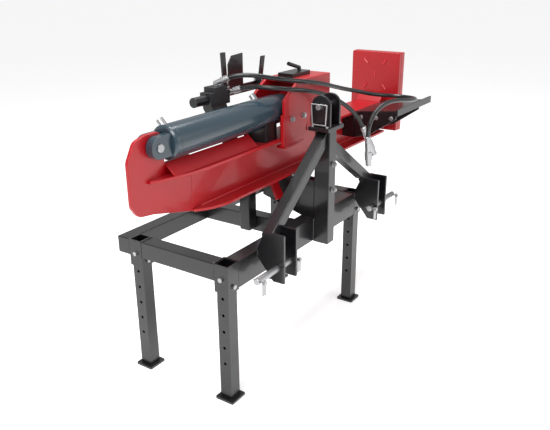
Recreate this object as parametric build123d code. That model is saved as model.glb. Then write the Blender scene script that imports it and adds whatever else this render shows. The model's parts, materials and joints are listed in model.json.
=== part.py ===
from build123d import *
import math
import os

# Three-point-hitch log splitter on a four-leg stand, in millimetres.
# X runs along the beam, from the cylinder's anchor to the foot plate. The tractor stands on the
# -Y side, the operator on the +Y side, and Z = 0 is the ground.

# ---- stand ----
FRAME_LENGTH = 900
FRAME_WIDTH = 480
FRAME_TOP = 498
RAIL_HEIGHT = 60
HITCH_RAIL_HEIGHT = 92
TUBE = 55
TUBE_WALL = 4.5
LEG = 45
LEG_WALL = 3
LEG_TOP = 470
SOCKET_DROP = 36
FOOT_PAD = 72
FOOT_PAD_THICKNESS = 8
MID_RAIL_X = 416
# ---- tractor hitch ----
HITCH_SPREAD = 683
HITCH_CENTRE_X = 540
HITCH_GAP = 62
HITCH_PLATE = 10
HITCH_PLATE_OUT = -104
HITCH_PLATE_TOP = 570
HITCH_PLATE_BOTTOM = 403
LOWER_PIN_R = 11
LOWER_PIN_Y = -80
LOWER_PIN_Z = 455
CLIP_REACH = 30
TOP_PIN_R = 9.5
TOP_PIN_Z = LOWER_PIN_Z + 460
MAST_X = (516, 565)
MAST_Y = (-61, 0)
MAST_TOP = 830
CLEVIS_GAP = 56
CLEVIS_PLATE = 10
# ---- beam ----
BEAM_Y = 150
BEAM_BOTTOM = 648
BEAM_TOP = 798
FLANGE_WIDTH = 120
FLANGE = 10
WEB = 12
BEAM_NEAR = -235
FOOT_X = 1300
FOOT_DEPTH = 50
FOOT_WIDTH = 232
FOOT_TOP = 1006
# ---- cylinder ----
CYL_Z = 890
BARREL_R = 52
BORE_R = 45
BARREL = (-85, 476)
ROD_R = 22.5
ANCHOR_X = -133
ANCHOR_PIN_R = 13
# ---- carriage ----
CARRIAGE = (443, 756)
SIDE_OUT = 77
SIDE_PLATE = 12
BOX_TOP = 990
CROSS_X = 610
# ---- controls ----
VALVE_Y = 278
# ---- clearances ----
RUN_FIT = 0.05
SLIDE_GAP = 1.0
BOLT_GAP = 0.2

ORIGIN_X = (BEAM_NEAR + FOOT_X + FOOT_DEPTH) / 2
ORIGIN_Y = (LOWER_PIN_Y - CLIP_REACH + FRAME_WIDTH) / 2
os.makedirs("parts", exist_ok=True)


def save(name, *solids):
    """Writes one node, with the origin under the middle of the machine."""
    moved = [Pos(-ORIGIN_X, -ORIGIN_Y, 0) * solid for s in solids for solid in s.solids()]
    shape = moved[0] if len(moved) == 1 else Compound(children=moved)
    export_step(shape, f"parts/{name}.step")


def block(x, y, z):
    """A box between two values on each axis."""
    low = Pos(min(x), min(y), min(z))
    size = [abs(v[1] - v[0]) for v in (x, y, z)]
    return low * Box(*size, align=(Align.MIN, Align.MIN, Align.MIN))


def rod(start, end, radius):
    """A round bar from one point to another."""
    start = Vector(*start)
    run = Vector(*end) - start
    bar = Cylinder(radius, run.length, align=(Align.CENTER, Align.CENTER, Align.MIN))
    return Plane(origin=start, z_dir=run) * bar


def hexagon(start, end, radius):
    """A hexagonal bolt head or nut between two points."""
    start = Vector(*start)
    run = Vector(*end) - start
    return extrude(Plane(origin=start, z_dir=run) * RegularPolygon(radius, 6), run.length)


def sheet(outline, normal, low, high, fillets=()):
    """A flat plate from its outline, in XZ, YZ or XY, with chosen corners rounded."""
    planes = {
        "X": Plane(origin=(low, 0, 0), x_dir=(0, 1, 0), z_dir=(1, 0, 0)),
        "Y": Plane(origin=(0, high, 0), x_dir=(1, 0, 0), z_dir=(0, -1, 0)),
        "Z": Plane(origin=(0, 0, low), x_dir=(1, 0, 0), z_dir=(0, 0, 1)),
    }
    face = make_face(Polyline(*outline, close=True))
    for corner, radius in fillets:
        point = Vector(*outline[corner])
        nearest = min(face.vertices(), key=lambda v: (Vector(v.X, v.Y) - point).length)
        face = fillet(nearest, radius)
    return extrude(planes[normal] * face, high - low)


def square_tube(x, y, z, axis, wall):
    """A box section that is open at both ends along one axis."""
    inner = [(v[0] + wall, v[1] - wall) for v in (x, y, z)]
    inner["XYZ".index(axis)] = ((x, y, z)["XYZ".index(axis)][0] - 1, (x, y, z)["XYZ".index(axis)][1] + 1)
    return block(x, y, z) - block(*inner)


# ---- the stand's rails ----
RAIL_Z = (FRAME_TOP - RAIL_HEIGHT, FRAME_TOP)
HITCH_RAIL_Z = (FRAME_TOP - HITCH_RAIL_HEIGHT, FRAME_TOP)
SOCKET_Z = (FRAME_TOP - RAIL_HEIGHT - SOCKET_DROP, FRAME_TOP)
LEFT_RAIL_Y = (FRAME_WIDTH - TUBE, FRAME_WIDTH)
INNER_LEG_Y = FRAME_WIDTH - 2 * TUBE
CORNERS = {
    "near_left": (0, INNER_LEG_Y),
    "near_right": (0, 0),
    "far_right": (FRAME_LENGTH - TUBE, 0),
    "far_left": (FRAME_LENGTH - TUBE, INNER_LEG_Y),
}
INNER_X = (TUBE, FRAME_LENGTH - TUBE)
CROSS_Y = (TUBE, INNER_LEG_Y)

save("hitch_rail", block(INNER_X, (0, TUBE), HITCH_RAIL_Z))
save("operator_rail", block((0, FRAME_LENGTH), LEFT_RAIL_Y, RAIL_Z))
save("cross_rails", block((0, TUBE), CROSS_Y, RAIL_Z),
     block((MID_RAIL_X, MID_RAIL_X + TUBE), (TUBE, LEFT_RAIL_Y[0]), RAIL_Z),
     block((FRAME_LENGTH - TUBE, FRAME_LENGTH), CROSS_Y, RAIL_Z))

# ---- leg sockets, legs, foot pads and clamp bolts ----
CLAMP_R = 5
CLAMP_Z = 450
sockets = []
clamps = []
for name, (x, y) in CORNERS.items():
    socket = square_tube((x, x + TUBE), (y, y + TUBE), SOCKET_Z, "Z", TUBE_WALL)
    middle = (x + TUBE / 2, y + TUBE / 2)
    outward = 1 if x > 0 else -1
    faces = (
        ((middle[0] + outward * TUBE / 2, middle[1]), (outward, 0)),
        ((middle[0], y), (0, -1)),
    )
    for (fx, fy), (dx, dy) in faces:
        # The clamp bolt stops half a millimetre short of the leg.
        height = CLAMP_Z if dx else SOCKET_Z[0] + 20
        point = lambda out: (fx + dx * out, fy + dy * out, height)
        shank_in = -(TUBE - LEG) / 2 + 0.5
        socket -= rod(point(-TUBE_WALL - 2), point(1), CLAMP_R + BOLT_GAP)
        clamps.append(rod(point(shank_in), point(0.1), CLAMP_R) + hexagon(point(0.1), point(7), 8.5))
    sockets.append(socket)
    edge = (TUBE - LEG) / 2
    leg = square_tube((x + edge, x + edge + LEG), (y + edge, y + edge + LEG),
                      (FOOT_PAD_THICKNESS, LEG_TOP), "Z", LEG_WALL)
    for hole_z in range(140, 400, 60):
        leg -= rod((x - 5, middle[1], hole_z), (x + TUBE + 5, middle[1], hole_z), 5.5)
    half = FOOT_PAD / 2
    pad = sheet([(middle[0] + sx * half, middle[1] + sy * half) for sx, sy in
                 ((-1, -1), (1, -1), (1, 1), (-1, 1))], "Z", 0, FOOT_PAD_THICKNESS)
    save(f"leg_{name}", leg, fillet(pad.edges().filter_by(Axis.Z), 4))
save("leg_sockets", *sockets)
save("leg_clamp_bolts", *clamps)

# ---- lower hitch brackets: two pairs of plates, each with its pin ----
PLATE_OUTLINE = [
    (HITCH_PLATE_OUT, HITCH_PLATE_BOTTOM), (-62, HITCH_PLATE_BOTTOM), (0, 478), (0, 506),
    (-28, HITCH_PLATE_TOP), (HITCH_PLATE_OUT, HITCH_PLATE_TOP),
]
PIN_REACH = 118
PIN_TAIL = 24
plates = []
for side, sign in (("near", -1), ("far", 1)):
    centre = HITCH_CENTRE_X + sign * HITCH_SPREAD / 2
    for end in (-1, 1):
        inner = centre + end * HITCH_GAP / 2
        low, high = sorted((inner, inner + end * HITCH_PLATE))
        plate = sheet(PLATE_OUTLINE, "X", low, high)
        plate -= rod((low - 1, LOWER_PIN_Y, LOWER_PIN_Z), (high + 1, LOWER_PIN_Y, LOWER_PIN_Z),
                     LOWER_PIN_R + RUN_FIT)
        plates.append(plate)
    outer = centre + sign * (HITCH_GAP / 2 + HITCH_PLATE)
    back = centre - sign * (HITCH_GAP / 2 + HITCH_PLATE + PIN_TAIL)
    tip = outer + sign * PIN_REACH
    pin = rod((back, LOWER_PIN_Y, LOWER_PIN_Z), (tip, LOWER_PIN_Y, LOWER_PIN_Z), LOWER_PIN_R)
    pin = chamfer(pin.edges().filter_by(GeomType.CIRCLE), 1.5)
    for clip_x in (tip - sign * 10, back + sign * 10):
        pin -= rod((clip_x, LOWER_PIN_Y - 20, LOWER_PIN_Z), (clip_x, LOWER_PIN_Y + 20, LOWER_PIN_Z), 3.2)
    save(f"lower_hitch_pin_{side}", pin)
    clips = []
    for clip_x in (tip - sign * 10, back + sign * 10):
        stem = rod((clip_x, LOWER_PIN_Y - 19, LOWER_PIN_Z), (clip_x, LOWER_PIN_Y + 17, LOWER_PIN_Z), 3)
        head = rod((clip_x, LOWER_PIN_Y - CLIP_REACH, LOWER_PIN_Z),
                   (clip_x, LOWER_PIN_Y - 19, LOWER_PIN_Z), 7.5)
        flag = block((clip_x - 11, clip_x + 11), (LOWER_PIN_Y - 23.5, LOWER_PIN_Y - 22),
                     (LOWER_PIN_Z - 44, LOWER_PIN_Z))
        clips.append(stem + head + flag)
    save(f"lower_pin_clips_{side}", *clips)
save("lower_hitch_plates", *plates)

# ---- mast, braces and top-link clevis ----
mast_mid_y = sum(MAST_Y) / 2
save("mast", block(MAST_X, MAST_Y, (HITCH_PLATE_BOTTOM, MAST_TOP)))
BRACE = 40
brace_y = (mast_mid_y - BRACE / 2, mast_mid_y + BRACE / 2)


def brace(mast_face, mast_z, foot_x, foot_z):
    """A square tube in the mast's plane, cut flush at the mast and level at the bracket."""
    run = Vector(foot_x - mast_face, 0, foot_z - mast_z)
    across = Vector(-run.Z, 0, run.X).normalized() * (BRACE / 2)
    reach = run.normalized() * 60
    top = Vector(mast_face, 0, mast_z) - reach
    foot = Vector(foot_x, 0, foot_z) + reach
    corners = [top + across, foot + across, foot - across, top - across]
    bar = sheet([(c.X, c.Z) for c in corners], "Y", *brace_y)
    side = (mast_face, foot_x + (300 if foot_x > mast_face else -300))
    bar = bar & block(side, (-90, 90), (HITCH_PLATE_TOP - 42, 1200))
    for end in (-1, 1):
        inner = foot_x + end * HITCH_GAP / 2
        bar -= block(sorted((inner, inner + end * 60)), (-120, 30), (0, HITCH_PLATE_TOP))
    return bar.solids().sort_by(SortBy.VOLUME)[-1]


save("hitch_braces", brace(MAST_X[0], 800, HITCH_CENTRE_X - HITCH_SPREAD / 2, 556),
     brace(MAST_X[1], 768, HITCH_CENTRE_X + HITCH_SPREAD / 2, 556))
ear_gap = CLEVIS_GAP / 2
clevis_base = block((MAST_X[0] - 30, MAST_X[1] + 30), (-72, 10), (MAST_TOP, MAST_TOP + 14))
ear_outline = [(-68, MAST_TOP + 14), (6, MAST_TOP + 14), (6, TOP_PIN_Z + 37), (-68, TOP_PIN_Z + 37)]
ears = []
for end in (-1, 1):
    low, high = sorted((HITCH_CENTRE_X + end * ear_gap, HITCH_CENTRE_X + end * (ear_gap + CLEVIS_PLATE)))
    ear = sheet(ear_outline, "X", low, high, ((2, 36), (3, 36)))
    ear -= rod((low - 1, mast_mid_y, TOP_PIN_Z), (high + 1, mast_mid_y, TOP_PIN_Z), TOP_PIN_R + RUN_FIT)
    ears.append(ear)
save("top_link_clevis", clevis_base, *ears)
top_pin = (HITCH_CENTRE_X - ear_gap - 30, HITCH_CENTRE_X + ear_gap + 34)
pin = rod((top_pin[0], mast_mid_y, TOP_PIN_Z), (top_pin[1], mast_mid_y, TOP_PIN_Z), TOP_PIN_R)
pin += rod((top_pin[1] - 8, mast_mid_y, TOP_PIN_Z), (top_pin[1], mast_mid_y, TOP_PIN_Z), 15)
save("top_link_pin", pin)

# A wire bail hangs from the pin's near end and keeps it from sliding out.
bail_x = top_pin[0] + 8
bail = rod((bail_x, mast_mid_y - 30, TOP_PIN_Z + 8), (bail_x, mast_mid_y + 30, TOP_PIN_Z + 8), 2.5)
bail += rod((bail_x, mast_mid_y - 30, TOP_PIN_Z + 8), (bail_x, mast_mid_y - 26, TOP_PIN_Z - 62), 2.5)
bail += rod((bail_x, mast_mid_y + 30, TOP_PIN_Z + 8), (bail_x, mast_mid_y + 26, TOP_PIN_Z - 62), 2.5)
bail += rod((bail_x, mast_mid_y - 26, TOP_PIN_Z - 62), (bail_x, mast_mid_y + 26, TOP_PIN_Z - 62), 2.5)
for corner_y, corner_z in ((-30, 8), (30, 8), (-26, -62), (26, -62)):
    bail += Pos(bail_x, mast_mid_y + corner_y, TOP_PIN_Z + corner_z) * Sphere(2.5)
bail -= rod((bail_x - 9, mast_mid_y, TOP_PIN_Z), (bail_x + 9, mast_mid_y, TOP_PIN_Z), TOP_PIN_R)
save("top_pin_bail", bail)

# ---- what carries the beam ----
seat_y = (BEAM_Y - 75, BEAM_Y + 75)
support_outline = [(0, FRAME_TOP), (0, BEAM_BOTTOM - FLANGE), (seat_y[1], BEAM_BOTTOM - FLANGE),
                   (seat_y[1], FRAME_TOP + 50), (TUBE, FRAME_TOP)]
supports = [sheet(support_outline, "X", x, x + FLANGE) for x in (MAST_X[0], MAST_X[1] - FLANGE)]
SEAT_X = (496, 586)
seat = block(SEAT_X, seat_y, (BEAM_BOTTOM - FLANGE, BEAM_BOTTOM))
POST_X = (MID_RAIL_X - 45, MID_RAIL_X)
POST_Y = (186, 230)
post_seat = block((POST_X[0] - 8, POST_X[1] + 30), (130, 246), (BEAM_BOTTOM - FLANGE, BEAM_BOTTOM))
seat_bolts = []
for plate_x, plate_y in ([(x, y) for x in (SEAT_X[0] + 10, SEAT_X[1] - 10) for y in (-68, 68)]):
    at = (plate_x, BEAM_Y + plate_y)
    seat -= rod((*at, BEAM_BOTTOM - 12), (*at, BEAM_BOTTOM + 2), 5 + BOLT_GAP)
    seat_bolts.append(rod((*at, BEAM_BOTTOM - 16), (*at, BEAM_BOTTOM + 8), 5)
                      + hexagon((*at, BEAM_BOTTOM + 0.1), (*at, BEAM_BOTTOM + 8), 9)
                      + hexagon((*at, BEAM_BOTTOM - 18), (*at, BEAM_BOTTOM - FLANGE - 0.1), 9))
save("beam_seat", seat, *supports)
save("short_post", block(POST_X, POST_Y, (FRAME_TOP - RAIL_HEIGHT + 14, BEAM_BOTTOM - FLANGE)), post_seat)
lug = sheet([(162, BEAM_BOTTOM), (152, BEAM_BOTTOM), (112, 566), (122, 562)], "X", 448, 492)
save("beam_lug", lug)

mast_bolts = []
for bolt_z in (610, 705):
    # Two bolts through the mast's outer side, each under a washer.
    at = (MAST_X[1] - 20, bolt_z)
    mast_bolts.append(rod((at[0], MAST_Y[0] - 2.5, at[1]), (at[0], MAST_Y[0], at[1]), 11)
                      + hexagon((at[0], MAST_Y[0] - 11, at[1]), (at[0], MAST_Y[0] - 2.5, at[1]), 9)
                      + rod((at[0], MAST_Y[0] - 15, at[1]), (at[0], MAST_Y[0] - 11, at[1]), 5.5))
for bolt_x in (MAST_X[0] - 21, MAST_X[1] + 21):
    for bolt_y in (-60, -4):
        top = MAST_TOP + 14
        mast_bolts.append(hexagon((bolt_x, bolt_y, top), (bolt_x, bolt_y, top + 6), 6))
save("frame_bolts", *mast_bolts, *seat_bolts)

# ---- the beam ----
half = FLANGE_WIDTH / 2
web_y = (BEAM_Y - WEB / 2, BEAM_Y + WEB / 2)
web_z = (BEAM_BOTTOM + FLANGE, BEAM_TOP - FLANGE)
save("beam_web", block((20, FOOT_X), web_y, web_z))


def flange(tip_x, full_x, tip_half, end_x, low, high):
    """A flange that widens in a soft curve from its tip to its full width."""
    third = (full_x - tip_x) / 3
    upper = Bezier((tip_x, BEAM_Y + tip_half), (tip_x + third, BEAM_Y + half * 0.8),
                   (full_x - third, BEAM_Y + half), (full_x, BEAM_Y + half))
    lower = Bezier((full_x, BEAM_Y - half), (full_x - third, BEAM_Y - half),
                   (tip_x + third, BEAM_Y - half * 0.8), (tip_x, BEAM_Y - tip_half))
    rim = [upper, Line((full_x, BEAM_Y + half), (end_x, BEAM_Y + half)),
           Line((end_x, BEAM_Y + half), (end_x, BEAM_Y - half)),
           Line((end_x, BEAM_Y - half), (full_x, BEAM_Y - half)), lower,
           Line((tip_x, BEAM_Y - tip_half), (tip_x, BEAM_Y + tip_half))]
    return extrude(Plane.XY.offset(low) * make_face(rim), high - low)


top_flange = flange(-165, 70, 16, FOOT_X, BEAM_TOP - FLANGE, BEAM_TOP)
bottom_flange = flange(20, 150, 14, FOOT_X, BEAM_BOTTOM, BEAM_BOTTOM + FLANGE)
anchor_outline = [(BEAM_NEAR, 735), (BEAM_NEAR, 865), (-205, 918), (-160, 930), (-98, 930), (-92, 834),
                  (20, 834), (20, 650), (-150, 692), (-212, 700)]
anchor = sheet(anchor_outline, "Y", *web_y, fillets=((9, 40), (8, 60), (2, 26), (4, 24), (0, 30), (1, 30)))
anchor -= rod((ANCHOR_X, 0, CYL_Z), (ANCHOR_X, 300, CYL_Z), ANCHOR_PIN_R + RUN_FIT)
top_flange -= block((-300, 20), web_y, (700, 900))
save("anchor_plate", anchor)
save("beam_flanges", top_flange, bottom_flange)
strip_y = (web_y[0], web_y[0] - 40)
strip = sheet([(strip_y[0], 834), (strip_y[0], 826), (strip_y[1] + 8, BEAM_TOP), (strip_y[1], BEAM_TOP)],
              "X", -92, 318)
save("cylinder_guard_strip", strip)

foot_y = (BEAM_Y - FOOT_WIDTH / 2, BEAM_Y + FOOT_WIDTH / 2)
foot = block((FOOT_X, FOOT_X + 20), foot_y, (660, FOOT_TOP))
save("foot_plate", fillet(foot.edges().filter_by(Axis.X), 6))
rim_box = block((FOOT_X + 20, FOOT_X + FOOT_DEPTH), foot_y, (660, FOOT_TOP))
rim_box -= block((FOOT_X + 10, FOOT_X + FOOT_DEPTH + 1), (foot_y[0] + 12, foot_y[1] - 12),
                 (672, FOOT_TOP - 12))
ribs = [block((FOOT_X + 20, FOOT_X + FOOT_DEPTH - 2), (y - 5, y + 5), (672, FOOT_TOP - 12))
        for y in (BEAM_Y - 35, BEAM_Y + 35)]
save("foot_plate_rim", rim_box, *ribs)
step_outline = [(1236, BEAM_TOP), (FOOT_X, BEAM_TOP), (FOOT_X, BEAM_TOP + 26), (1262, BEAM_TOP + 26)]
save("foot_step", sheet(step_outline, "Y", BEAM_Y - 58, BEAM_Y + 58))

# ---- the cylinder ----
def tube(x0, x1, outer, inner):
    """A round tube along the cylinder's axis."""
    return (rod((x0, BEAM_Y, CYL_Z), (x1, BEAM_Y, CYL_Z), outer)
            - rod((x0 - 1, BEAM_Y, CYL_Z), (x1 + 1, BEAM_Y, CYL_Z), inner))


BASE_CAP = 24
save("cylinder_barrel", tube(BARREL[0] + BASE_CAP, BARREL[1], BARREL_R, BORE_R))
cap = rod((BARREL[0], BEAM_Y, CYL_Z), (BARREL[0] + BASE_CAP, BEAM_Y, CYL_Z), BARREL_R)
cap = chamfer(cap.edges().filter_by(GeomType.CIRCLE).sort_by(Axis.X)[0], 6)
EAR_R = 33
fork = []
for end in (-1, 1):
    low, high = sorted((BEAM_Y + end * (WEB / 2 + 1.5), BEAM_Y + end * (WEB / 2 + 27)))
    ear = rod((ANCHOR_X, low, CYL_Z), (ANCHOR_X, high, CYL_Z), EAR_R)
    ear += block((ANCHOR_X, BARREL[0]), (low, high), (CYL_Z - EAR_R, CYL_Z + EAR_R))
    ear -= rod((ANCHOR_X, low - 1, CYL_Z), (ANCHOR_X, high + 1, CYL_Z), ANCHOR_PIN_R + RUN_FIT)
    fork.append(ear)
save("cylinder_base", cap, *fork)
anchor_pin = rod((ANCHOR_X, BEAM_Y - 38, CYL_Z), (ANCHOR_X, BEAM_Y + 38, CYL_Z), ANCHOR_PIN_R)
save("cylinder_anchor_pin", chamfer(anchor_pin.edges().filter_by(GeomType.CIRCLE), 2))
GLAND = (BARREL[1], BARREL[1] + 52)
save("cylinder_gland", tube(*GLAND, 49, ROD_R + RUN_FIT))
save("cylinder_rod", rod((-22, BEAM_Y, CYL_Z), (CROSS_X - 0.2, BEAM_Y, CYL_Z), ROD_R))
save("cylinder_piston", tube(-52, -22, BORE_R - 0.1, 9)
     + rod((-54, BEAM_Y, CYL_Z), (-22, BEAM_Y, CYL_Z), 9.5))
SADDLE_X = (362, 432)
saddle = block(SADDLE_X, (BEAM_Y - 46, BEAM_Y + 46), (BEAM_TOP, CYL_Z - 18))
saddle -= rod((SADDLE_X[0] - 1, BEAM_Y, CYL_Z), (SADDLE_X[1] + 1, BEAM_Y, CYL_Z), BARREL_R)
save("cylinder_saddle", saddle)
fittings = []
for port_x in (-40, 422):
    port = rod((port_x, BEAM_Y + 30, CYL_Z + 30), (port_x, BEAM_Y + 54, CYL_Z + 54), 12)
    port -= rod((port_x - 30, BEAM_Y, CYL_Z), (port_x + 29, BEAM_Y, CYL_Z), BARREL_R)
    fittings.append(port)

# ---- the carriage ----
def mirror_y(y0, y1):
    """The same stretch on both sides of the beam's middle."""
    return ((y0, y1), (2 * BEAM_Y - y1, 2 * BEAM_Y - y0))


side_z = BEAM_TOP - FLANGE - 16
side_outline = [(CARRIAGE[0], side_z), (CARRIAGE[0], 934), (CARRIAGE[0] + 46, 964),
                (CARRIAGE[0] + 92, BOX_TOP), (CARRIAGE[1], BOX_TOP), (CARRIAGE[1], 884), (632, 868), (590, 828), (572, side_z)]
side_faces = mirror_y(SIDE_OUT, SIDE_OUT + SIDE_PLATE)
save("carriage_sides", *[sheet(side_outline, "Y", *y) for y in side_faces])
inner_y = (SIDE_OUT + SIDE_PLATE, 2 * BEAM_Y - SIDE_OUT - SIDE_PLATE)
save("carriage_top", block((CARRIAGE[0] + 92, CARRIAGE[1]), inner_y, (BOX_TOP - 12, BOX_TOP)))
cross_z = (BEAM_TOP + SLIDE_GAP, BOX_TOP - 12)
save("carriage_cross_plates", block((CROSS_X, CROSS_X + 25), inner_y, cross_z),
     block((CARRIAGE[1] - 16, CARRIAGE[1]), inner_y, cross_z),
     block((CROSS_X + 25, CARRIAGE[1] - 16), inner_y, (cross_z[0], cross_z[0] + 14)))
keepers = [block((CARRIAGE[0] + 2, 570), y, (side_z - 10, side_z))
           for y in mirror_y(SIDE_OUT, BEAM_Y - 36)]
flange_straps = [sheet([(CARRIAGE[0] - 10, side_z), (CARRIAGE[0], side_z), (CARRIAGE[0], 878),
                        (CARRIAGE[0] - 10, 884)], "Y", *y)
                 for y in mirror_y(SIDE_OUT, SIDE_OUT + SIDE_PLATE)]
save("carriage_keepers", *keepers, *flange_straps)
bolts = []
for bolt_x, bolt_z in ((488, 862), (566, 862)):
    for face, out in ((SIDE_OUT, -1), (2 * BEAM_Y - SIDE_OUT, 1)):
        bolts.append(rod((bolt_x, face, bolt_z), (bolt_x, face + out * 2, bolt_z), 11)
                     + hexagon((bolt_x, face + out * 2, bolt_z), (bolt_x, face + out * 9, bolt_z), 9))
save("carriage_bolts", *bolts)
WEDGE_TIP = CARRIAGE[1] + 100
save("wedge", sheet([(CARRIAGE[1], BEAM_Y - 17), (WEDGE_TIP, BEAM_Y - 1), (WEDGE_TIP, BEAM_Y + 1),
                     (CARRIAGE[1], BEAM_Y + 17)], "Z", BEAM_TOP + 30, BOX_TOP - 20))
cover = block((566, 690), (BEAM_Y - 26, BEAM_Y + 40), (BOX_TOP, BOX_TOP + 14))
handle = rod((590, BEAM_Y + 8, BOX_TOP + 46), (664, BEAM_Y + 8, BOX_TOP + 24), 7)
handle += rod((664, BEAM_Y + 8, BOX_TOP + 14), (664, BEAM_Y + 8, BOX_TOP + 26), 7)
save("carriage_cover", fillet(cover.edges().filter_by(Axis.Z), 5), handle)

# ---- log wing on the tractor side ----
WING_X = (992, 1296)
wing_in = 86
wing_out = -96
rise = 20
gusset = [(wing_in, BEAM_TOP - 4), (wing_out, BEAM_TOP - 4 + rise), (wing_out, BEAM_TOP - 32 + rise),
          (20, 706), (wing_in + 4, 690)]
wing_top = [(wing_in, BEAM_TOP - 4), (wing_in, BEAM_TOP + 2), (wing_out, BEAM_TOP + 2 + rise),
            (wing_out, BEAM_TOP - 4 + rise)]
lip = [(wing_out, BEAM_TOP - 20 + rise), (wing_out, BEAM_TOP + 8 + rise),
       (wing_out - 7, BEAM_TOP + 8 + rise), (wing_out - 7, BEAM_TOP - 20 + rise)]
save("log_wing", sheet(wing_top, "X", *WING_X), sheet(lip, "X", WING_X[0], FOOT_X + FOOT_DEPTH))
wing_bolts = []
for bolt_y, bolt_z in ((58, 778), (-10, 782), (-76, 788)):
    wing_bolts.append(rod((WING_X[0] - 2, bolt_y, bolt_z), (WING_X[0], bolt_y, bolt_z), 9)
                      + hexagon((WING_X[0] - 8, bolt_y, bolt_z), (WING_X[0] - 2, bolt_y, bolt_z), 7))
save("wing_bolts", *wing_bolts)
brackets = []
for x in (WING_X[0], 1230):
    brackets.append(sheet(gusset, "X", x, x + 8))
    brackets.append(block((x, x + 8), (wing_in + 4, web_y[0]), (690, BEAM_TOP - FLANGE)))
save("wing_brackets", *brackets)

# ---- two-hand control valve ----
VALVE_X = (262, 366)
valve_y = (VALVE_Y - 24, VALVE_Y + 24)
valve = block(VALVE_X, valve_y, (922, 968)) + block((284, 344), valve_y, (968, 984))
valve -= rod((VALVE_X[0] - 1, VALVE_Y, 945), (VALVE_X[1] + 1, VALVE_Y, 945), 9 + RUN_FIT)
save("valve_body", valve)
save("valve_spool", rod((VALVE_X[0] - 6, VALVE_Y, 945), (VALVE_X[1] + 24, VALVE_Y, 945), 9))
detent = rod((VALVE_X[0] - 64, VALVE_Y, 945), (VALVE_X[0], VALVE_Y, 945), 17)
detent -= rod((VALVE_X[0] - 40, VALVE_Y, 945), (VALVE_X[0] + 1, VALVE_Y, 945), 12)
save("detent_cap", detent)
valve_bracket = sheet([(BEAM_Y + half, BEAM_TOP - 8), (BEAM_Y + half, BEAM_TOP), (VALVE_Y - 20, 922),
                             (VALVE_Y + 20, 922), (VALVE_Y + 20, 912)], "X", 270, 350)
RAIL = (366, 640)
control_rail = block(RAIL, (VALVE_Y + 26, VALVE_Y + 34), (930, 962))
control_rail += block((300, RAIL[0]), (VALVE_Y + 24, VALVE_Y + 34), (930, 962))
save("control_bracket", valve_bracket, control_rail)
lever_pivots = (("left", 392), ("right", 600))
for name, x in lever_pivots:
    pivot = (x, VALVE_Y, 966)
    lean = -10 if name == "left" else 22
    blade = sheet([(x - 11, 950), (x + 11, 950), (x + 11 + lean, 1088 if name == "left" else 1052),
                   (x - 11 + lean, 1088 if name == "left" else 1052)], "Y", VALVE_Y + 12, VALVE_Y + 19)
    blade += rod((x, VALVE_Y + 4, 966), (x, VALVE_Y + 24, 966), 12)
    blade -= rod((x, VALVE_Y, 966), (x, VALVE_Y + 30, 966), 5 + RUN_FIT)
    save(f"control_lever_{name}", blade)
save("lever_pins", *[rod((x, VALVE_Y + 2, 966), (x, VALVE_Y + 26, 966), 5)
                     + rod((x, VALVE_Y, 966), (x, VALVE_Y + 3.5, 966), 8) for _, x in lever_pivots]
     + [block((x - 13, x + 13), (VALVE_Y + 26, VALVE_Y + 34), (962, 980)) for _, x in lever_pivots])
save("lever_guard", sheet([(424, 962), (424, 1042), (446, 1070), (512, 1074), (512, 962)], "Y",
                          VALVE_Y + 26, VALVE_Y + 30))

# ---- supply hoses: straight runs joined by tangent arcs ----
HOSE_R = 8


def hose(points):
    """A hose along hand-set points, its arcs as large as the runs beside them allow."""
    radii = []
    for before, here, after in zip(points, points[1:], points[2:]):
        a = Vector(*here) - Vector(*before)
        b = Vector(*after) - Vector(*here)
        half_turn = math.radians(a.get_angle(b) / 2)
        radii.append(0.45 * min(a.length, b.length) / math.tan(half_turn))
    path = FilletPolyline(*points, radius=radii)
    end = Plane(origin=path @ 0, z_dir=path % 0)
    tube = sweep(end * Circle(HOSE_R), path=path)
    expected = math.pi * HOSE_R ** 2 * path.length
    print("hose length", round(path.length), "volume ratio", round(tube.volume / expected, 4))
    print("  radii", [round(r) for r in radii])
    return tube


LOOP_HOSE = [
    (330, 262, 1002), (344, 232, 1016), (362, 196, 1022), (388, 154, 1020), (424, 114, 1010),
    (468, 82, 1000), (524, 62, 990), (590, 52, 978), (660, 44, 962), (730, 40, 943),
    (800, 37, 925), (870, 34, 909), (940, 32, 892), (1004, 26, 876), (1052, 6, 866),
    (1087, -28, 861), (1098, -74, 860), (1084, -120, 862), (1048, -152, 866), (1000, -166, 872),
    (940, -168, 880), (884, -160, 889), (834, -148, 893), (784, -134, 886), (744, -122, 864),
    (720, -113, 828), (716, -108, 788), (730, -104, 750),
]
SHORT_HOSE = [
    (380, 250, 962), (392, 216, 973), (400, 180, 978), (408, 140, 979), (424, 104, 977),
    (452, 74, 972), (490, 54, 966), (536, 44, 957), (590, 36, 944), (644, 26, 926),
    (698, 12, 902), (746, -4, 872), (786, -18, 838), (816, -30, 799), (836, -40, 756),
]
COUPLER_R = 11.5
COUPLER_LENGTH = 104
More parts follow.
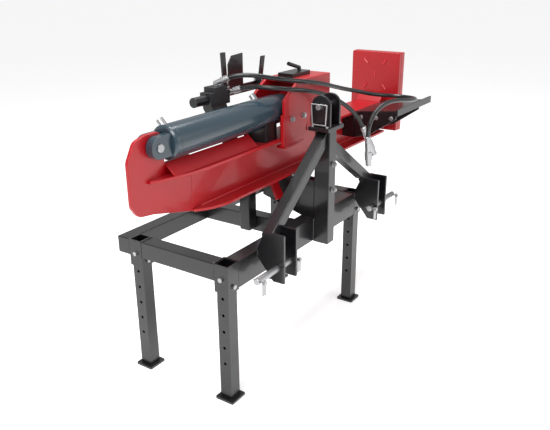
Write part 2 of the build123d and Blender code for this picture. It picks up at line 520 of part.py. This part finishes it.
# For each hose: how far its fitting runs back, where it meets the valve, and its radius.
FITTINGS = {"loop": (22, 984, 8.5), "short": (9, VALVE_X[1], 7.5)}
for name, route in (("loop", LOOP_HOSE), ("short", SHORT_HOSE)):
    save(f"hose_{name}", hose(route))
    # A quick coupler on the hose's free end, in line with its last run.
    end = Vector(*route[-1])
    away = (end - Vector(*route[-2])).normalized()
    coupler = rod(end, end + away * COUPLER_LENGTH, COUPLER_R)
    coupler += rod(end + away * 40, end + away * 78, COUPLER_R + 2.5)
    save(f"quick_coupler_{name}", coupler)
    # Its fitting at the valve meets the hose's first run face to face.
    start = Vector(*route[0])
    back = (start - Vector(*route[1])).normalized()
    reach, foot, radius = FITTINGS[name]
    bend = start + back * reach
    fitting = rod(start, bend, radius) + Pos(*bend) * Sphere(radius)
    fittings.append(fitting + rod(bend, (bend.X, bend.Y, foot), radius) if name == "loop"
                    else fitting + rod(bend, (foot, bend.Y, bend.Z), radius))
save("hydraulic_fittings", *fittings)
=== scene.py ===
# %% [markdown]
# This notebook dresses a tractor-mounted log splitter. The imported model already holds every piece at
# its real size, in metres, so each cell gives a piece its finish, or adds the small details that a
# workshop leaves behind: weld beads and crimped hose ends.

# %% Load the frame
import json
import math
import bmesh
import bpy
from mathutils import Matrix, Vector


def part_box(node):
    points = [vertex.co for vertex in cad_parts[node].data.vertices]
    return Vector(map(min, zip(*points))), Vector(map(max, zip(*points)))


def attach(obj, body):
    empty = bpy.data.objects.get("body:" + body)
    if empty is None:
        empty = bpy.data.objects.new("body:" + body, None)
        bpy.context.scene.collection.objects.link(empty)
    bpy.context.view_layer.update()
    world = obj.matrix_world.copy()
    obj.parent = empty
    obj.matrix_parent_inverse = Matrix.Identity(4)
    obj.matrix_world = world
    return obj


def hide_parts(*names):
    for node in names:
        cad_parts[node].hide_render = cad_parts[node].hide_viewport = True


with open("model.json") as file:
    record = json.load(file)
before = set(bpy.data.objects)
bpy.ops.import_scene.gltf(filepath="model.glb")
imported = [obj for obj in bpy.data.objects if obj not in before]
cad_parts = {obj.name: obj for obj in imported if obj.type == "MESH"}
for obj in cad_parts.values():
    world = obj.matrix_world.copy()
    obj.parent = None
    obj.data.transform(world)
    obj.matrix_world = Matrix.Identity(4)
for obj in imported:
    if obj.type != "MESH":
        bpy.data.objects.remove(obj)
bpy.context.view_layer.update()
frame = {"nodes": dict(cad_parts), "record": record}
nodes = frame["nodes"]
body_of_node = {node: body for body, members in frame["record"]["behaviour"]["bodies"].items()
                for node in members}
slot_of_node = {part["node"]: part["material_slot"] for part in frame["record"]["subparts"]}

# %% [markdown]
# The camera comes first, because the hoses are judged from it. It stands off the near corner of the
# hitch side, a little above the machine, and looks down along the beam with a short portrait lens.

# %% Camera
CAMERA_PLACE = Vector((-1.9749, -1.3194, 1.360))
CAMERA_YAW = math.radians(34.02)
CAMERA_DOWN = math.radians(20.83)
CAMERA_ROLL = math.radians(0.38)
LENS = 42.57

look = Vector((math.cos(CAMERA_YAW) * math.cos(CAMERA_DOWN),
               math.sin(CAMERA_YAW) * math.cos(CAMERA_DOWN), -math.sin(CAMERA_DOWN)))
camera = bpy.data.objects.new("camera", bpy.data.cameras.new("camera"))
bpy.context.collection.objects.link(camera)
camera.data.lens = LENS
camera.data.sensor_width = 36
turn = look.to_track_quat("-Z", "Y").to_matrix().to_4x4() @ Matrix.Rotation(-CAMERA_ROLL, 4, "Z")
camera.matrix_world = Matrix.Translation(CAMERA_PLACE) @ turn
bpy.context.scene.camera = camera
print("camera", tuple(round(v, 3) for v in CAMERA_PLACE))

# %% [markdown]
# A finish is a shader. Effects that many finishes share sit in node groups, so that each is tuned in
# one place. The first group makes a slow, cloudy variation for colour and gloss. The second makes a
# fine bump: the orange peel of sprayed paint, or the grain of a casting.

# %% Shared node groups
def new_group(name, inputs, outputs):
    """An empty node group with named sockets."""
    group = bpy.data.node_groups.new(name, "ShaderNodeTree")
    for label, kind, value in inputs:
        socket = group.interface.new_socket(label, in_out="INPUT", socket_type=kind)
        if value is not None:
            socket.default_value = value
    for label, kind in outputs:
        group.interface.new_socket(label, in_out="OUTPUT", socket_type=kind)
    return group, group.nodes.new("NodeGroupInput"), group.nodes.new("NodeGroupOutput")


def math_node(group, operation, *sources):
    """A math node fed by the given outputs, in order."""
    node = group.nodes.new("ShaderNodeMath")
    node.operation = operation
    for socket, source in zip(node.inputs, sources):
        group.links.new(source, socket)
    return node.outputs[0]


def blend_node(group, factor, first, second=None, plain=None):
    """A colour blend of two outputs, or of an output and a plain colour."""
    node = group.nodes.new("ShaderNodeMix")
    node.data_type = "RGBA"
    group.links.new(factor, node.inputs["Factor"])
    group.links.new(first, node.inputs[6])
    if second is None:
        node.inputs[7].default_value = plain
    else:
        group.links.new(second, node.inputs[7])
    return node.outputs[2]


def noise_node(group, vector, detail, scale=None):
    """A noise over object coordinates."""
    node = group.nodes.new("ShaderNodeTexNoise")
    node.inputs["Detail"].default_value = detail
    if scale is not None:
        node.inputs["Scale"].default_value = scale
    group.links.new(vector, node.inputs["Vector"])
    return node


# The pale bluish grey below is laid on faces that point up: partly dust, partly a painted sheen of the
# overhead light.
DUST_AND_SHEEN_COLOR = (0.55, 0.55, 0.56, 1)
DUST_AND_SHEEN_GRAIN = 60
DUST_AND_SHEEN_LEAN = 0.6


def make_clouding():
    """Patches of a second colour and of a duller gloss, with dust and a painted sheen on what faces up.
    """
    group, into, out = new_group(
        "clouding",
        [("Color", "NodeSocketColor", None), ("Patch", "NodeSocketColor", None),
         ("Scale", "NodeSocketFloat", 9.0), ("Amount", "NodeSocketFloat", 0.3),
         ("Gloss", "NodeSocketFloat", 0.3), ("Spread", "NodeSocketFloat", 0.12),
         ("DustAndSheen", "NodeSocketFloat", 0.1)],
        [("Color", "NodeSocketColor"), ("Roughness", "NodeSocketFloat")])
    add, link = group.nodes.new, group.links.new
    place = add("ShaderNodeTexCoord").outputs["Object"]
    noise = noise_node(group, place, detail=6)
    link(into.outputs["Scale"], noise.inputs["Scale"])
    patches = math_node(group, "MULTIPLY", noise.outputs["Fac"], into.outputs["Amount"])
    mottled = blend_node(group, patches, into.outputs["Color"], into.outputs["Patch"])

    # Faces that point up are lightened towards a pale bluish grey: partly dust, partly a painted sheen
    # that stands in for the light from above.
    normal_parts = add("ShaderNodeSeparateXYZ")
    link(add("ShaderNodeNewGeometry").outputs["Normal"], normal_parts.inputs[0])
    up = add("ShaderNodeMapRange")
    up.inputs["From Min"].default_value = DUST_AND_SHEEN_LEAN
    link(normal_parts.outputs["Z"], up.inputs["Value"])
    grain = noise_node(group, place, detail=8, scale=DUST_AND_SHEEN_GRAIN)
    up_facing_mask = math_node(group, "MULTIPLY", up.outputs[0], grain.outputs["Fac"])
    dust_and_sheen = math_node(group, "MULTIPLY", up_facing_mask, into.outputs["DustAndSheen"])
    link(blend_node(group, dust_and_sheen, mottled, plain=DUST_AND_SHEEN_COLOR), out.inputs["Color"])
    gloss = math_node(group, "MULTIPLY_ADD", noise.outputs["Fac"], into.outputs["Spread"],
                      into.outputs["Gloss"])
    link(gloss, out.inputs["Roughness"])
    return group


def make_peel():
    """A fine bump from noise, stretched along an axis if need be."""
    group, into, out = new_group(
        "peel",
        [("Scale", "NodeSocketFloat", 300.0), ("Stretch", "NodeSocketVector", (1, 1, 1)),
         ("Depth", "NodeSocketFloat", 0.05)],
        [("Normal", "NodeSocketVector")])
    add, link = group.nodes.new, group.links.new
    place = add("ShaderNodeTexCoord")
    stretch = add("ShaderNodeVectorMath")
    stretch.operation = "MULTIPLY"
    link(place.outputs["Object"], stretch.inputs[0])
    link(into.outputs["Stretch"], stretch.inputs[1])
    noise = noise_node(group, stretch.outputs[0], detail=3)
    link(into.outputs["Scale"], noise.inputs["Scale"])
    bump = add("ShaderNodeBump")
    bump.inputs["Distance"].default_value = 0.001
    link(into.outputs["Depth"], bump.inputs["Strength"])
    link(noise.outputs["Fac"], bump.inputs["Height"])
    link(bump.outputs[0], out.inputs["Normal"])
    return group


clouding = make_clouding()
peel = make_peel()
print("groups", [g.name for g in bpy.data.node_groups])

# %% [markdown]
# Each finish of the machine is one call: its colour, the colour of its patches, its gloss and its
# bump. Numbers that are the same all over the surface sit on the shader's own sockets.

# %% Finishes
def finish_of(name, color, patch, gloss, *, metal=0.0, amount=0.4, spread=0.1, dust_and_sheen=0.0, scale=9.0,
              peel_scale=260.0, stretch=(1, 1, 1), depth=0.04, coat=0.0, coat_gloss=0.06):
    """A painted, plated or moulded surface."""
    material = bpy.data.materials.new(name)
    material.use_nodes = True
    tree = material.node_tree
    shader = tree.nodes["Principled BSDF"]
    shader.inputs["Metallic"].default_value = metal
    shader.inputs["Coat Weight"].default_value = coat
    shader.inputs["Coat Roughness"].default_value = coat_gloss
    cloud = tree.nodes.new("ShaderNodeGroup")
    cloud.node_tree = clouding
    for label, value in (("Color", (*color, 1)), ("Patch", (*patch, 1)), ("Scale", scale),
                         ("Amount", amount), ("Gloss", gloss), ("Spread", spread), ("DustAndSheen", dust_and_sheen)):
        cloud.inputs[label].default_value = value
    tree.links.new(cloud.outputs["Color"], shader.inputs["Base Color"])
    tree.links.new(cloud.outputs["Roughness"], shader.inputs["Roughness"])
    skin = tree.nodes.new("ShaderNodeGroup")
    skin.node_tree = peel
    for label, value in (("Scale", peel_scale), ("Stretch", stretch), ("Depth", depth)):
        skin.inputs[label].default_value = value
    tree.links.new(skin.outputs["Normal"], shader.inputs["Normal"])
    return material


# The dust amount on the red and black paint lightens their upward faces: partly dust, partly a painted
# sheen of the light from above.
finishes = {
    "red_paint": finish_of("red_paint", (0.44, 0.001, 0.006), (0.28, 0.0005, 0.004), 0.30,
                           coat=0.2, dust_and_sheen=0.03),
    "black_paint": finish_of("black_paint", (0.003, 0.003, 0.004), (0.008, 0.008, 0.010), 0.26,
                             coat=0.3, dust_and_sheen=0.04),
    "cylinder_paint": finish_of("cylinder_paint", (0.022, 0.042, 0.058), (0.032, 0.056, 0.074), 0.20,
                                coat=0.5),
    "gland_paint": finish_of("gland_paint", (0.014, 0.019, 0.024), (0.02, 0.026, 0.032), 0.25, coat=0.3),
    "zinc_plate": finish_of("zinc_plate", (0.46, 0.46, 0.47), (0.26, 0.26, 0.27), 0.30, metal=1.0,
                            scale=60, spread=0.2, depth=0.08),
    "hard_chrome": finish_of("hard_chrome", (0.78, 0.78, 0.8), (0.7, 0.7, 0.72), 0.05, metal=1.0,
                             spread=0.04, depth=0.0),
    "machined_steel": finish_of("machined_steel", (0.5, 0.5, 0.52), (0.4, 0.4, 0.42), 0.3, metal=1.0,
                                stretch=(8, 1, 1)),
    "hose_rubber": finish_of("hose_rubber", (0.005, 0.005, 0.006), (0.012, 0.012, 0.013), 0.26,
                             scale=30, depth=0.06, coat=0.15, coat_gloss=0.3),
    "valve_casting": finish_of("valve_casting", (0.012, 0.012, 0.014), (0.03, 0.03, 0.032), 0.42,
                               peel_scale=500, depth=0.5),
    "weld_red": finish_of("weld_red", (0.62, 0.03, 0.04), (0.45, 0.01, 0.015), 0.3, coat=0.3),
}
print("finishes", sorted(finishes))

# %% [markdown]
# Cut and folded steel never has a perfect corner. Each node's mesh comes from the model as loose
# triangles, so a copy is merged, its corners are marked where the faces turn sharply, and a small
# bevel catches the light there. The copy stands for the node and rides on the same body.

# %% Dress every node
SHARP = math.radians(32)
FLAT = math.radians(0.5)
WELD_DISTANCE = 1e-6
PLAIN_BEVEL = 0.0012
BEVEL_WIDTHS = {"zinc_plate": 0.0006, "hard_chrome": 0.0008}
ROUNDED = {"carriage_sides": 0.0022, "carriage_top": 0.0022, "foot_plate": 0.0035, "mast": 0.003,
           "cross_rails": 0.0028, "operator_rail": 0.0028, "hitch_rail": 0.0028, "hitch_braces": 0.0032,
           "leg_sockets": 0.0018, "short_post": 0.0025, "anchor_plate": 0.0022, "beam_flanges": 0.0020}
HOSE_NODES = ("hose_loop", "hose_short")


def body_slot(obj, node):
    """The new piece takes the node's body, and stands for it."""
    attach(obj, body_of_node[node])
    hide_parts(node)


def dress(node):
    """A merged, bevelled copy of a node, with its finish."""
    source = nodes[node]
    mesh = bpy.data.meshes.new(node + "_body")
    bm = bmesh.new()
    bm.from_mesh(source.data)
    bm.transform(source.matrix_world)
    bmesh.ops.remove_doubles(bm, verts=bm.verts, dist=WELD_DISTANCE)
    bmesh.ops.dissolve_limit(bm, angle_limit=FLAT, verts=bm.verts, edges=bm.edges)
    for face in bm.faces:
        face.smooth = True
    for edge in bm.edges:
        edge.smooth = edge.calc_face_angle(0) < SHARP
    bm.to_mesh(mesh)
    bm.free()
    obj = bpy.data.objects.new(node + "_body", mesh)
    bpy.context.collection.objects.link(obj)
    slot = slot_of_node[node]
    mesh.materials.append(finishes["gland_paint" if node == "cylinder_gland" else slot])
    width = ROUNDED.get(node, BEVEL_WIDTHS.get(slot, PLAIN_BEVEL))
    bevel = obj.modifiers.new("bevel", "BEVEL")
    bevel.limit_method = "ANGLE"
    bevel.angle_limit = SHARP
    bevel.width = width
    bevel.segments = 2
    bevel.harden_normals = True
    body_slot(obj, node)
    return obj


for node in nodes:
    if node not in HOSE_NODES:
        dress(node)
print("dressed", len(nodes) - len(HOSE_NODES))

# %% [markdown]
# The two supply hoses are the only soft things here. Each is one smooth curve through the same route
# points as the solid tube, with a round section. They leave the valve, cross over the cylinder, pass
# the mast and hang down to the quick couplers that plug into the tractor.

# %% Hoses
ORIGIN = Vector((557.5, 185, 0))
MM = 0.001
HOSE_R = 0.008
LOOP_HOSE = [
    (330, 262, 1002), (344, 232, 1016), (362, 196, 1022), (388, 154, 1020), (424, 114, 1010),
    (468, 82, 1000), (524, 62, 990), (590, 52, 978), (660, 44, 962), (730, 40, 943),
    (800, 37, 925), (870, 34, 909), (940, 32, 892), (1004, 26, 876), (1052, 6, 866),
    (1087, -28, 861), (1098, -74, 860), (1084, -120, 862), (1048, -152, 866), (1000, -166, 872),
    (940, -168, 880), (884, -160, 889), (834, -148, 893), (784, -134, 886), (744, -122, 864),
    (720, -113, 828), (716, -108, 788), (730, -104, 750),
]
SHORT_HOSE = [
    (380, 250, 962), (392, 216, 973), (400, 180, 978), (408, 140, 979), (424, 104, 977),
    (452, 74, 972), (490, 54, 966), (536, 44, 957), (590, 36, 944), (644, 26, 926),
    (698, 12, 902), (746, -4, 872), (786, -18, 838), (816, -30, 799), (836, -40, 756),
]


def row_points(route):
    """Route points from the stand's corner in millimetres to the row frame in metres."""
    return [(Vector(p) - ORIGIN) * MM for p in route]


def make_hose(name, route):
    """A hose along its route."""
    curve = bpy.data.curves.new(f"supply_hose_{name}", "CURVE")
    curve.dimensions = "3D"
    spline = curve.splines.new("NURBS")
    spline.points.add(len(route) - 1)
    for point, place in zip(spline.points, route):
        point.co = (*place, 1)
    spline.order_u = 3
    spline.use_endpoint_u = True
    spline.resolution_u = 10
    curve.bevel_depth = HOSE_R
    curve.bevel_resolution = 6
    curve.use_fill_caps = True
    curve.materials.append(finishes["hose_rubber"])
    hose = bpy.data.objects.new(f"supply_hose_{name}", curve)
    bpy.context.collection.objects.link(hose)
    body_slot(hose, f"hose_{name}")
    return hose


loop_route = row_points(LOOP_HOSE)
short_route = row_points(SHORT_HOSE)
make_hose("loop", loop_route)
make_hose("short", short_route)
print("hoses", len(loop_route), len(short_route))

# %% [markdown]
# A crimped ferrule holds each hose on its fitting. It is spun from a short profile about the hose's
# own line: a sleeve with two pressed grooves. The same shape sits at both ends of each hose.

# %% Ferrules
def link_mesh(name, bm, material, body):
    """A finished mesh piece, riding on its body."""
    bmesh.ops.recalc_face_normals(bm, faces=bm.faces)
    mesh = bpy.data.meshes.new(name)
    bm.to_mesh(mesh)
    bm.free()
    for polygon in mesh.polygons:
        polygon.use_smooth = True
    mesh.set_sharp_from_angle(angle=SHARP)
    mesh.materials.append(finishes[material])
    obj = bpy.data.objects.new(name, mesh)
    bpy.context.collection.objects.link(obj)
    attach(obj, body)
    return obj


def spin_profile(bm, profile, start, direction, steps=28):
    """Turns a profile of (along, radius) pairs about a line. Placed vertices are tagged."""
    turn = direction.normalized().to_track_quat("Z", "X").to_matrix().to_4x4()
    place = Matrix.Translation(start) @ turn
    verts = [bm.verts.new((radius, 0, along)) for along, radius in profile]
    edges = [bm.edges.new(pair) for pair in zip(verts, verts[1:])]
    bmesh.ops.spin(bm, geom=verts + edges, cent=(0, 0, 0), axis=(0, 0, 1),
                   angle=math.tau, steps=steps, use_merge=True)
    for vert in bm.verts:
        if not vert.tag:
            vert.co = place @ vert.co
            vert.tag = True


# (along, radius) from the fitting: a lip, two pressed grooves, and a plain end on the hose.
FERRULE = [
    (0.0, 0.0082), (0.0, 0.0108), (0.006, 0.0112),
    (0.007, 0.0102), (0.009, 0.0102), (0.010, 0.0112), (0.016, 0.0112),
    (0.017, 0.0102), (0.019, 0.0102), (0.020, 0.0112), (0.027, 0.0110), (0.029, 0.0082),
]
ferrules = bmesh.new()
for route in (loop_route, short_route):
    spin_profile(ferrules, FERRULE, route[0], route[1] - route[0])
    spin_profile(ferrules, FERRULE, route[-1], route[-2] - route[-1])
bmesh.ops.remove_doubles(ferrules, verts=ferrules.verts, dist=1e-5)
link_mesh("hose_ferrules", ferrules, "zinc_plate", "stand")

# %% [markdown]
# The beam and the stand are welded. A bead is a row of overlapping ripples, so it is a thin rod whose
# rings swell and shrink along its length, laid into the corner between two plates.

# %% Weld beads
RIPPLE = 0.004
RIPPLE_WAIST = 0.84
BEAD_R = 0.0032
BEAD_SIDES = 8


def bead(bm, start, end, radius=BEAD_R):
    """A rippled weld bead between two points."""
    start, end = Vector(start), Vector(end)
    run = end - start
    count = max(2, round(run.length / RIPPLE))
    profile = [(0.0, 0.0)]
    for step in range(count + 1):
        swell = 1.0 if step % 2 else RIPPLE_WAIST
        profile.append((run.length * step / count, radius * swell))
    profile.append((run.length, 0.0))
    spin_profile(bm, profile, start, run, steps=BEAD_SIDES)


def weld(name, runs, material, radius=BEAD_R):
    """One piece on the stand, made of a bead for each (start, end) run."""
    beads = bmesh.new()
    for start, end in runs:
        bead(beads, start, end, radius)
    bmesh.ops.remove_doubles(beads, verts=beads.verts, dist=WELD_DISTANCE)
    return link_mesh(name, beads, material, "stand")


def stand_run(*ends):
    """Both ends of a run, from the stand's near corner in millimetres to the row frame."""
    return row_points(ends)


# Along the web at both flanges, and at the foot of the foot plate. The last three stand where the
# carriage's wall is at rest, and they stay with the stand.
WEB_FACES = (143.5, 156.5)
FOOT_FACE = 1300
beam_runs = []
for y in WEB_FACES:
    beam_runs.append(stand_run((30, y, 788), (1296, y, 788)))
    beam_runs.append(stand_run((60, y, 658.5), (1296, y, 658.5)))
beam_runs.append(stand_run((FOOT_FACE, 92, 799), (FOOT_FACE, 208, 799)))
beam_runs += [stand_run((612, 89.5, z), (612, 89.5, z + 30)) for z in (830, 900, 960)]
weld("beam_weld_beads", beam_runs, "weld_red")

# Across the rails' tops, up the mast's corners, and where the hitch plates meet the rail.
RAIL_TOP = 499
stand_runs = [stand_run((x, 1, RAIL_TOP), (x, 54, RAIL_TOP)) for x in (55.5, 844.5)]
stand_runs += [stand_run((x, -1, 410), (x, -1, 494)) for x in (515.5, 565.5)]
for x in (157.5, 229.5, 840.5, 912.5):
    stand_runs += [stand_run((face, -1.5, 482), (face, -1.5, 500)) for face in (x, x + 10)]
stand_runs += [stand_run((2, y, RAIL_TOP), (53, y, RAIL_TOP)) for y in (55.5, 369.5)]
weld("stand_weld_beads", stand_runs, "black_paint")
print("runs", len(beam_runs), len(stand_runs))

# %% [markdown]
# The foot plate carries five short beads of weld that bite into the log. Four point to the middle
# from near the corners, and an upright one sits in the middle.

# %% Grip marks on the foot plate
foot_low, foot_high = (Vector(c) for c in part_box("foot_plate"))
middle = (foot_low + foot_high) / 2
FACE_PROUD = 0.0005
GRIP_R = 0.004
GRIP_ARM = 0.011
GRIP_LEAN = 0.8
GRIP_ROW = 0.055
GRIP_COLUMN = 0.046
GRIP_LIFT = 0.076

grip_runs = []
for side, row in ((-1, -1), (-1, 1), (1, -1), (1, 1), (0, 0)):
    centre = Vector((foot_low.x - FACE_PROUD, middle.y - side * GRIP_COLUMN,
                     middle.z + GRIP_LIFT + row * GRIP_ROW))
    arm = Vector((0, -side * row * GRIP_ARM * GRIP_LEAN, GRIP_ARM))
    grip_runs.append((centre - arm, centre + arm))
weld("foot_plate_grip_marks", grip_runs, "weld_red", GRIP_R)
print("grip marks at", [round(v, 3) for v in middle])

# %% [markdown]
# The floor is plain and pale, and the light is soft: one long panel overhead, a key from the
# camera's left and a fill from its right.

# %% Floor and lights
FLOOR_HALF = 30
FLOOR_GLOW = 0.5
SKY_STRENGTH = 0.45

grid = bmesh.new()
bmesh.ops.create_grid(grid, x_segments=1, y_segments=1, size=FLOOR_HALF)
floor_mesh = bpy.data.meshes.new("floor")
grid.to_mesh(floor_mesh)
grid.free()
floor = bpy.data.objects.new("floor", floor_mesh)
bpy.context.collection.objects.link(floor)
floor_material = bpy.data.materials.new("floor")
floor_material.use_nodes = True
floor_shader = floor_material.node_tree.nodes["Principled BSDF"]
floor_shader.inputs["Base Color"].default_value = (0.93, 0.93, 0.93, 1)
floor_shader.inputs["Roughness"].default_value = 0.9
floor_shader.inputs["Emission Color"].default_value = (1, 1, 1, 1)
floor_shader.inputs["Emission Strength"].default_value = FLOOR_GLOW
floor_mesh.materials.append(floor_material)

# The backdrop is white to the camera, while the machine itself is lit by a dimmer sky.
world = bpy.data.worlds.new("studio")
bpy.context.scene.world = world
world.use_nodes = True
sky = world.node_tree
dim = sky.nodes["Background"]
white = sky.nodes.new("ShaderNodeBackground")
for background, strength in ((dim, SKY_STRENGTH), (white, 1.0)):
    background.inputs["Color"].default_value = (1, 1, 1, 1)
    background.inputs["Strength"].default_value = strength
seen = sky.nodes.new("ShaderNodeLightPath")
choose = sky.nodes.new("ShaderNodeMixShader")
sky.links.new(seen.outputs["Is Camera Ray"], choose.inputs["Fac"])
sky.links.new(dim.outputs["Background"], choose.inputs[1])
sky.links.new(white.outputs["Background"], choose.inputs[2])
sky.links.new(choose.outputs["Shader"], sky.nodes["World Output"].inputs["Surface"])


def panel(name, place, target, size, power):
    """A rectangular soft light, aimed at a point."""
    light = bpy.data.lights.new(name, "AREA")
    light.shape = "RECTANGLE"
    light.size, light.size_y = size
    light.energy = power
    obj = bpy.data.objects.new(name, light)
    obj.rotation_euler = (Vector(target) - Vector(place)).to_track_quat("-Z", "Y").to_euler()
    obj.location = place
    bpy.context.collection.objects.link(obj)


panel("overhead", (0.0, 0.2, 3.2), (0, 0, 0.6), (3.2, 0.5), 80)
panel("key", (-2.6, -0.6, 2.6), (0, 0, 0.8), (1.4, 1.4), 45)
panel("fill", (1.0, -3.2, 1.8), (0, 0, 0.7), (2.4, 1.4), 30)
bpy.context.scene.view_settings.view_transform = "Standard"
